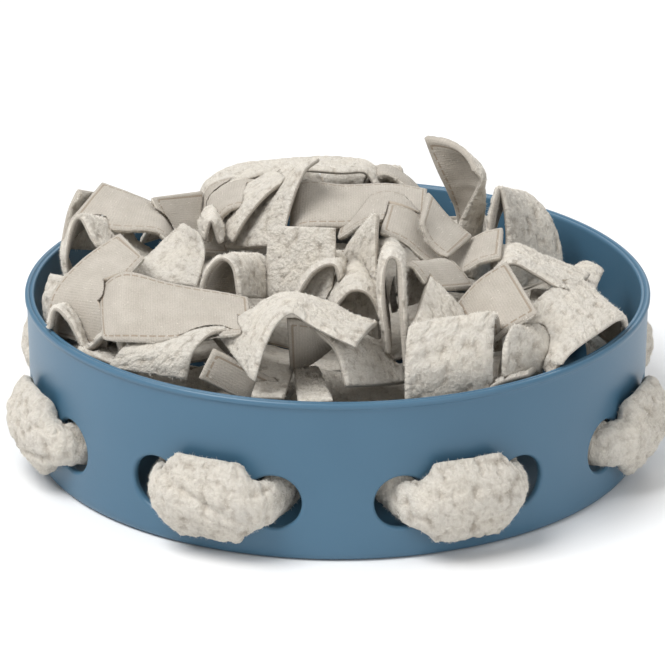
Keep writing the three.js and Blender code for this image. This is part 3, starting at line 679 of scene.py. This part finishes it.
STRIPS = {
    "inner_front": (1, [
        (-56, -68, 5, 90, 0, 0), (-72, -72, 30, 90, 0, 0), (-62, -84, 52, 88, 10, 0),
        (-30, -86, 56, 90, 18, 8), (4, -86, 50, 90, 18, 0), (38, -86, 56, 90, 18, 8),
        (66, -80, 52, 80, 34, 0), (84, -63, 48, 0, 90, 0), (64, -46, 52, -90, 24, 0),
        (30, -44, 56, -90, 12, 8), (-8, -44, 50, -90, 12, 0), (-46, -44, 56, -90, 12, 8),
        (-84, -44, 50, -90, 8, 0),
    ]),
    "inner_middle": (1, [
        (-68, -12, 5, 90, 0, 0), (-88, -12, 30, 90, 0, 0), (-80, -6, 52, 90, 6, 0),
        (-42, -6, 57, 90, 12, 8), (-2, -6, 50, 90, 12, 0), (38, -6, 56, 90, 12, 8),
        (74, -4, 50, 84, 30, 0), (92, 14, 46, 0, 90, 0), (74, 32, 52, -90, 24, 0),
        (38, 34, 57, -90, 12, 8), (0, 34, 50, -90, 12, 0), (-40, 34, 57, -90, 12, 8),
        (-84, 34, 50, -90, 8, 0),
    ]),
    "inner_back": (1, [
        (-52, 70, 5, 90, 0, 0), (-74, 70, 30, 90, 0, 0), (-66, 74, 52, 90, 6, 0),
        (-32, 74, 57, 90, 10, 8), (2, 74, 50, 90, 10, 0), (36, 74, 56, 90, 14, 0),
        (60, 80, 52, 84, 50, 0), (68, 92, 48, 0, 90, 0),
        (44, 105, 50, -90, 55, 0), (10, 108, 52, -90, 35, 8), (-26, 106, 48, -90, 35, 0),
        (-54, 96, 48, -70, 30, 0),
    ]),
    "front_square": (-1, [
        (45, -114, 62, 20, 0, 8), (45, -112, 80, 20, 0, 8), (46, -102, 91, 20, 0, 6),
        (48, -94, 88, 20, 0, 0), (50, -88, 72, 20, 0, 0),
    ]),
    "hood": (1, [
        (-20, -98, 79, 87, -57, 20), (-11, -98, 80, 90, -48, 20), (-2, -97, 83, 70, -24, 15),
        (8, -101, 79, 58, -18, 10), (16, -108, 67, 44, -14, 6),
    ]),
    "twist": (-1, [
        (-41, -105, 78, -66, -10, 0), (-35, -104, 89, -75, 3, 10), (-28, -102, 97, -82, 9, 15),
        (-19, -101, 101, -88, 11, 15), (-7, -103, 97, -101, 9, 12), (2, -106, 93, -102, 10, 12),
        (12, -107, 90, -104, 8, 20),
    ]),
    "tunnel_front": (1, [
        (-78, -93, 66, 150, -3, 0), (-73, -92, 76, 142, -12, 0), (-62, -86, 81, 128, -18, 0),
        (-50, -82, 80, 112, -16, 0), (-43, -82, 68, 106, -6, 0),
    ]),
    "front_lump": (-1, [
        (79, -91, 66, 48, -10, 0), (80, -90, 76, 46, -16, 8), (79, -82, 81, 60, -20, 8),
        (78, -72, 74, 62, -10, 0), (76, -66, 58, 60, 0, 0),
    ]),
    "right_square": (1, [
        (81, -80, 67, 114, 6, 0), (86, -76, 76, 116, 8, 4), (100, -58, 80, 116, 12, 10),
        (112, -40, 76, 112, 4, 8), (113, -34, 58, 110, 0, 0),
    ]),
    "wide_knit": (-1, [
        (-98, -62, 80, 95, 12, 0), (-88, -68, 86, 92, 28, -8), (-69, -76, 87, 93, 18, -10),
        (-48, -82, 88, 93, 6, 0), (-36, -84, 88, 93, 0, 0),
    ]),
    "spike": (1, [
        (16, -42, 116, -89, 22, 0), (12, -44, 105, -72, 24, 20), (10, -48, 86, -62, 17, 30),
        (10, -50, 68, -62, 8, 20),
    ]),
    "tunnel_mid": (1, [
        (-3, -62, 86, 92, -8, 0), (5, -62, 96, 90, -4, 0), (14, -62, 95, 86, -2, 0),
        (20, -62, 84, 84, -2, 0),
    ]),
    "double_layer": (1, [
        (21, -76, 76, 90, 2, 0), (18, -72, 98, 90, -4, 0), (20, -68, 110, 90, -10, 0),
        (25, -68, 108, 90, -10, 0), (26, -74, 92, 90, -2, 0), (28, -82, 72, 89, 2, 0),
    ]),
    "smooth_triangle": (-1, [
        (76, -70, 95, -72, -14, 0), (64, -71, 88, -73, -14, -8), (55, -72, 78, -74, -10, 0),
    ]),
    "sherpa_triangle": (-1, [
        (34, -78, 92, -101, -11, 0), (43, -80, 84, -103, -9, 8), (53, -81, 73, -103, -3, 0),
    ]),
    "knit_arch": (-1, [
        (31, -50, 80, 58, -6, 0), (33, -48, 93, 60, -12, 0), (39, -48, 97, 60, -16, 0),
        (48, -52, 87, 58, -16, 0),
    ]),
    "arch_left": (1, [
        (-52, -40, 66, 70, -16, 0), (-50, -39, 82, 68, -20, 0), (-47, -37, 92, 68, -14, 0),
        (-41, -38, 96, 65, -18, 0), (-36, -40, 92, 65, -20, 0), (-34, -44, 80, 65, -20, 0),
    ]),
    "left_flap": (-1, [
        (-87, -27, 97, -72, 4, 0), (-98, -37, 90, -54, 8, 10), (-107, -47, 80, -44, 10, 15),
        (-110, -52, 64, -44, 6, 0),
    ]),
    "pointed": (1, [
        (-62, -16, 101, -78, 14, 0), (-66, -30, 95, -54, 14, 8), (-74, -44, 87, -36, 4, 8),
    ]),
    "curl_left": (1, [
        (-115, 8, 66, 95, -7, 0), (-118, 10, 80, 95, -7, 0), (-111, 12, 92, 80, -16, 0),
        (-103, 10, 95, 66, -22, 0), (-95, 4, 86, 62, -18, 0), (-85, 3, 79, 66, -12, 0),
        (-74, 4, 74, 70, -8, 0),
    ]),
    "ribbed": (-1, [
        (-110, 27, 97, 70, 9, 0), (-94, 23, 95, 80, 4, -8), (-78, 22, 91, 92, -4, -6),
        (-71, 20, 80, 94, -6, 0),
    ]),
    "far_left": (1, [
        (-108, 44, 96, 74, -22, 0), (-112, 40, 87, 72, -20, 0), (-114, 36, 72, 68, -20, 0),
    ]),
    "tall_curl": (1, [
        (53, 62, 111, 126, 8, -60), (60, 64, 101, 124, -6, -110), (64, 64, 86, 104, -8, -150),
        (63, 63, 66, 84, 0, -130), (62, 61, 24, 84, 0, -60),
    ]),
    "standing_right": (1, [
        (68, 45, 74, 84, -14, 0), (71, 49, 86, 80, -18, 0), (77, 53, 93, 70, -22, 0),
        (84, 50, 81, 54, -16, 10), (86, 44, 64, 42, -16, 20), (80, 38, 50, 36, -16, 20),
    ]),
    "flat_right": (1, [
        (66, -22, 84, 88, -6, 0), (74, -24, 92, 86, -9, 0), (86, -26, 87, 80, -10, 6),
        (102, -30, 80, 72, -8, 6),
    ]),
    "dark_square": (1, [
        (37, -10, 108, -95, 0, 0), (44, -14, 99, -104, 3, 6), (52, -18, 93, -108, 6, 0),
    ]),
    "long_curve": (-1, [
        (20, -12, 104, 84, -2, 0), (30, -12, 100, 84, 0, 0), (40, -13, 92, 85, 1, 0),
        (52, -14, 87, 84, 1, 0), (62, -15, 92, 84, -1, 0), (70, -15, 94, 86, -2, 0),
    ]),
    "back_band": (-1, [
        (18, 72, 90, 88, -14, 0), (13, 73, 97, 88, -14, 0), (2, 73, 98, 90, -11, 0),
        (-14, 75, 98, 82, -12, 0), (-31, 76, 96, 88, -12, 0), (-46, 74, 93, 93, -9, 0),
        (-57, 70, 87, 97, -10, 0), (-60, 66, 76, 98, -8, 0),
    ]),
    "light_face": (1, [
        (-14, 38, 112, -70, 22, 0), (-22, 28, 108, -64, 26, 0), (-29, 17, 98, -57, 22, 8),
        (-36, 6, 84, -47, 16, 8),
    ]),
    "diagonal_band": (1, [
        (-49, 24, 84, 100, -8, 0), (-41, 30, 95, 99, -8, 0), (-30, 36, 103, 97, -12, 0),
        (-18, 44, 106, 96, -14, 0),
    ]),
    "back_inner": (1, [
        (-59, 46, 80, -84, -4, 0), (-54, 44, 91, -83, -4, 0), (-45, 43, 96, -94, -2, 0),
        (-33, 42, 97, -91, 2, 0),
    ]),
    "ribbed_panel": (1, [
        (-20, 18, 88, -92, -10, 0), (-16, 18, 99, -92, -12, 0), (3, 18, 99, -90, -8, 0),
        (23, 18, 100, -90, -6, 0), (38, 17, 98, -94, -6, 0),
    ]),
    "back_right": (-1, [
        (12, 80, 80, 88, -10, 0), (16, 79, 91, 88, -12, 0), (22, 79, 94, 88, -14, 0),
        (32, 78, 88, 87, -15, 0), (42, 76, 77, 86, -16, 0),
    ]),
    "panel": (1, [
        (-15, -36, 109, -41, 12, 0), (-15, -42, 96, -39, 13, 8), (-16, -50, 82, -44, 13, 8),
    ]),
    "mid_arch": (1, [
        (-15, -46, 86, 84, -9, 0), (-8, -44, 95, 84, -12, 0), (1, -44, 97, 83, -14, 0),
        (4, -46, 86, 83, -10, 0),
    ]),
    "mid_strip": (-1, [
        (2, 5, 94, 85, -4, 0), (15, 5, 103, 85, -2, 0), (26, 5, 103, 89, -2, 0), (38, 4, 97, 86, -6, 0),
    ]),
    "back_left": (-1, [
        (-71, 46, 94, 56, -12, 0), (-66, 40, 83, 52, -18, 8), (-60, 32, 71, 48, -18, 8),
    ]),
    "small_arch": (1, [
        (-59, 17, 87, 95, -9, 0), (-55, 18, 95, 92, -11, 0), (-50, 17, 86, 88, -8, 0),
    ]),
    "back_lump": (1, [
        (96, 6, 64, 78, -10, 0), (104, 4, 73, 78, -10, 6), (113, 0, 70, 80, -8, 6),
    ]),
    "inside_right": (1, [
        (81, -36, 74, 84, -7, 6), (95, -36, 75, 83, -8, 6),
    ]),
    "rim_wave": (1, [
        (-118, -38, 60, 79, -14, 0), (-114, -40, 75, 76, -16, 0), (-107, -44, 70, 74, -20, 0),
        (-101, -50, 60, 76, -20, 0), (-95, -56, 68, 80, -18, 0), (-91, -60, 73, 84, -18, 0),
        (-87, -64, 64, 86, -16, 0),
    ]),
    "left_under": (1, [
        (-110, -32, 84, -50, 10, 0), (-114, -38, 72, -53, 6, 0), (-112, -44, 58, -57, 6, 0),
    ]),
    "rim_left": (1, [
        (-104, -50, 62, 76, -12, 0), (-88, -66, 62, 86, -9, 0), (-76, -74, 56, 90, -4, 0),
        (-62, -82, 56, 88, 0, 0), (-50, -86, 55, 88, 0, 0),
    ]),
    "fan": (-1, [
        (-34, -103, 72, 4, -30, 0), (-40, -105, 60, 4, -30, 0),
    ]),
    "front_tip": (1, [
        (-33, -101, 66, 84, 0, 6), (-20, -102, 65, 85, -4, 4),
    ]),
    "front_low": (1, [
        (-17, -106, 65, 93, -1, 4), (-5, -106, 66, 99, -2, 4),
    ]),
    "rear_left": (-1, [
        (-56, 66, 62, 34, 6, 0), (-64, 79, 74, 38, 8, 8), (-70, 92, 70, 42, 4, 8),
        (-76, 100, 56, 42, 0, 0),
    ]),
    "rear_mid_left": (-1, [
        (-24, 88, 77, 8, -4, 0), (-27, 101, 86, 12, -6, 8), (-30, 113, 79, 18, -4, 8),
        (-31, 117, 58, 16, 0, 0),
    ]),
    "rear_mid": (-1, [
        (12, 88, 76, -4, 4, 0), (11, 102, 85, -8, 6, 8), (12, 114, 79, -10, 4, 8),
        (13, 119, 56, -8, 0, 0),
    ]),
    "rim_right": (1, [
        (60, -92, 54, 78, -4, 0), (68, -92, 64, 74, -9, 4), (84, -84, 66, 70, -8, 4),
    ]),
}

# Creases, as for the straps: place along and across, slope, half length, depth and width.
CREASES = {
    "front_square": [(20, 12, 80, 16, 0.9, 2.2), (42, 26, 100, 14, 0.7, 2.0)],
    "twist": [(22, 8, 70, 16, 1.0, 2.4), (44, 22, 110, 18, 0.9, 2.4)],
    "wide_knit": [(30, 12, 12, 26, 0.9, 2.4), (52, 26, -10, 24, 0.8, 2.2)],
    "ribbed": [(22, 24, 60, 14, 0.7, 2.4)],
    "back_band": [(40, 12, 15, 24, 1.0, 2.6), (84, 24, -12, 22, 0.9, 2.4)],
    "tall_curl": [(22, 19, 90, 15, 0.8, 2.4)],
    "long_curve": [(30, 16, 80, 16, 0.8, 2.2)],
    "hood": [(18, 18, 70, 15, 0.9, 2.4)],
}

# A plain section of the bowl, a little larger than it, as radius and height.
BOWL_CLEARANCE = [
    (0, -1), (RIM_RADIUS + 2, -1), (RIM_RADIUS + 2, 71), (130.3, 71), (129.4, 12), (127.0, 5.2),
    (121.6, 3.6), (0, 3.6),
]
BOWL_CLEARANCE_SIDES = 96


def bowl_clearance():
    """The plain section turned round the axis, which keeps the strips inside the bowl."""
    turns = np.arange(BOWL_CLEARANCE_SIDES) * 2 * math.pi / BOWL_CLEARANCE_SIDES
    grid = turned(BOWL_CLEARANCE, turns)
    faces = quads_between(*grid.shape[:2], closed=True)
    piece = add_mesh("bowl_clearance", grid.reshape(-1, 3), [faces])
    close_and_smooth(piece, merge=1e-7, sharp=180)
    piece.hide_render = True
    return piece


def flat_area_left(mesh):
    """The area of cloth left in a trimmed strip, and how wide and long it is, all laid flat: half
    the sum of its two faces' triangles in the cloth's own coordinates, in millimetres."""
    mesh.calc_loop_triangles()
    count = len(mesh.loop_triangles)
    loops = np.zeros(3 * count, np.int32)
    mesh.loop_triangles.foreach_get("loops", loops)
    place = np.zeros(2 * len(mesh.loops), np.float32)
    mesh.uv_layers["cloth"].uv.foreach_get("vector", place)
    a, b, c = (place.reshape(-1, 2)[loops.reshape(-1, 3)[:, k]] for k in range(3))
    area = 0.5 * np.abs((b - a)[:, 0] * (c - a)[:, 1] - (b - a)[:, 1] * (c - a)[:, 0])
    reach = np.concatenate([a[area > 0], b[area > 0], c[area > 0]])
    return float(area.sum()) / 2, reach.max(0) - reach.min(0)


HIDDEN_STEP = 2.3  # between the points of the strips that lie under the heap

trimmers.append(bowl_clearance())
for k, (name, (side, rows)) in enumerate(STRIPS.items()):
    hidden = name.startswith("inner")
    strip, length = cloth_strip(
        f"strip_cloth_{name}", rows, pile_up=side, step=HIDDEN_STEP if hidden else CLOTH_STEP,
        pile=1.0, creases=CREASES.get(name, ()), seed=k)
    trimmed(strip, overlapping(strip, trimmers))
    trimmers.append(clearance_shape(f"strip_clearance_{name}", rows, CLEARANCE))
    if not hidden:
        fleece.append((strip, "fleece_strip"))
    left, (wide, long) = flat_area_left(strip.data)
    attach(strip, "root")
    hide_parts(f"strip_{name}")

for trimmer in trimmers:
    bpy.data.objects.remove(trimmer)


# Loose fibres that stand out of the fleece: polyester filament teased up by the brushing, dense on
# the curly face and sparse on the knit, which softens every edge. A filament is far finer than the
# picture can show, so each one drawn stands for a small bunch.

FIBRE_LENGTH = 1.3
FIBRE_SPREAD = (0.5, 1.2)  # of that length, from the shortest to the longest
FIBRE_RADIUS = 0.08
FIBRE_DENSITY = (0.42, 0.02)  # for each square millimetre of the pile, and of the knit
FIBRE_LEAN = 0.7


def fibres_on(mesh, random):
    """The four points of each fibre on the mesh. A fibre's foot is spread evenly by area, and its
    axis is the face's normal plus a random step. Its points are three round the foot and a tip."""
    mesh.calc_loop_triangles()
    count = len(mesh.loop_triangles)
    corners, owner = np.zeros(3 * count, np.int32), np.zeros(count, np.int32)
    mesh.loop_triangles.foreach_get("vertices", corners)
    mesh.loop_triangles.foreach_get("polygon_index", owner)
    kind = np.zeros(len(mesh.polygons), np.int32)
    mesh.polygons.foreach_get("material_index", kind)
    place = np.zeros(3 * len(mesh.vertices), np.float32)
    mesh.vertices.foreach_get("co", place)
    a, b, c = (place.reshape(-1, 3)[corners.reshape(-1, 3)[:, k]] / MM for k in range(3))
    normal = np.cross(b - a, c - a)
    size = np.linalg.norm(normal, axis=1)
    share = 0.5 * size * np.where(kind[owner] == 0, *FIBRE_DENSITY)
    total = int(share.sum())
    chosen = random.choice(count, total, p=share / share.sum())
    p, q = random.random((2, total, 1))
    p, q = np.where(p + q > 1, 1 - p, p), np.where(p + q > 1, 1 - q, q)
    foot = a[chosen] + p * (b - a)[chosen] + q * (c - a)[chosen]
    axis = normal[chosen] / size[chosen][:, None] + FIBRE_LEAN * random.normal(size=(total, 3))
    axis /= np.linalg.norm(axis, axis=1, keepdims=True)
    first = np.cross(axis, random.normal(size=(total, 3)))
    first *= FIBRE_RADIUS / np.linalg.norm(first, axis=1, keepdims=True)
    second = np.cross(axis, first) * math.sqrt(3) / 2
    tip = foot + axis * FIBRE_LENGTH * random.uniform(*FIBRE_SPREAD, (total, 1))
    return np.stack([foot + first, foot - first / 2 + second, foot - first / 2 - second, tip], axis=1)


def loose_filament():
    """Loose polyester filament: pale, matt and soft."""
    material, tree = new_material("loose_polyester_filament")
    shader = node(tree, "ShaderNodeBsdfPrincipled", {
        "Base Color": linear("F8F3EA"), "Roughness": 0.9, "IOR": 1.45, "Specular IOR Level": 0.1})
    node(tree, "ShaderNodeOutputMaterial", {"Surface": shader.outputs[0]})
    return material


FILAMENT = loose_filament()
strips_only = [item for item, slot_name in fleece if slot_name == "fleece_strip"]
straps_only = [item for item, slot_name in fleece if slot_name == "fleece_strap"]
half = len(strips_only) // 2
FIBRE_GROUPS = [
    ("strip_fibres_a", "fleece_strip", strips_only[:half]),
    ("strip_fibres_b", "fleece_strip", strips_only[half:]),
    ("strap_fibres", "fleece_strap", straps_only),
]
for name, slot_name, group in FIBRE_GROUPS:
    random = np.random.default_rng(11)
    points = np.concatenate([fibres_on(item.data, random) for item in group])
    sides = np.array([(0, 1, 3), (1, 2, 3), (2, 0, 3), (0, 2, 1)])
    faces = (4 * np.arange(len(points))[:, None, None] + sides).reshape(-1, 3)
    fuzz = add_mesh(name, points.reshape(-1, 3), [faces])
    fuzz.data.materials.append(FILAMENT)
    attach(fuzz, "root")


# The floor the bowl stands on: a large plain pale board, lit as in a studio by even light all round
# and by three large soft lamps.

FLOOR_REACH = 6
FLOOR_CORNERS = [
    (-FLOOR_REACH, -FLOOR_REACH, 0), (FLOOR_REACH, -FLOOR_REACH, 0),
    (FLOOR_REACH, FLOOR_REACH, 0), (-FLOOR_REACH, FLOOR_REACH, 0),
]

floor_mesh = bpy.data.meshes.new("floor")
floor_mesh.from_pydata(FLOOR_CORNERS, [], [(0, 1, 2, 3)])
floor = bpy.data.objects.new("floor", floor_mesh)
bpy.context.scene.collection.objects.link(floor)
matt, matt_tree = new_material("matt_white_board")
board = node(matt_tree, "ShaderNodeBsdfPrincipled", {"Base Color": linear("EFEFEF"), "Roughness": 0.8})
node(matt_tree, "ShaderNodeOutputMaterial", {"Surface": board.outputs[0]})
floor_mesh.materials.append(matt)

world = bpy.data.worlds.new("studio")
world.use_nodes = True
world.node_tree.nodes["Background"].inputs["Color"].default_value = linear("F4F6F8")
world.node_tree.nodes["Background"].inputs["Strength"].default_value = 0.5
bpy.context.scene.world = world

LIGHTS = [
    # name, power in watts, size in metres, place, what it points at
    ("key", 31.0, 1.0, (-0.8, -0.5, 1.6), (0.0, 0.0, 0.05)),
    ("fill", 10.0, 1.6, (1.2, -1.5, 1.0), (0.0, 0.0, 0.05)),
    ("back", 10.0, 1.2, (0.3, 1.4, 1.3), (0.0, 0.0, 0.08)),
]
for name, power, size, place, aim in LIGHTS:
    lamp = bpy.data.lights.new(name, "AREA")
    lamp.energy, lamp.size = power, size
    light = bpy.data.objects.new(name, lamp)
    offset = np.subtract(aim, place)
    yaw = math.atan2(offset[1], offset[0]) - math.pi / 2
    pitch = math.acos(-offset[2] / np.linalg.norm(offset))
    light.location, light.rotation_euler = place, (pitch, 0.0, yaw)
    bpy.context.scene.collection.objects.link(light)

bpy.context.scene.view_settings.view_transform = "Standard"
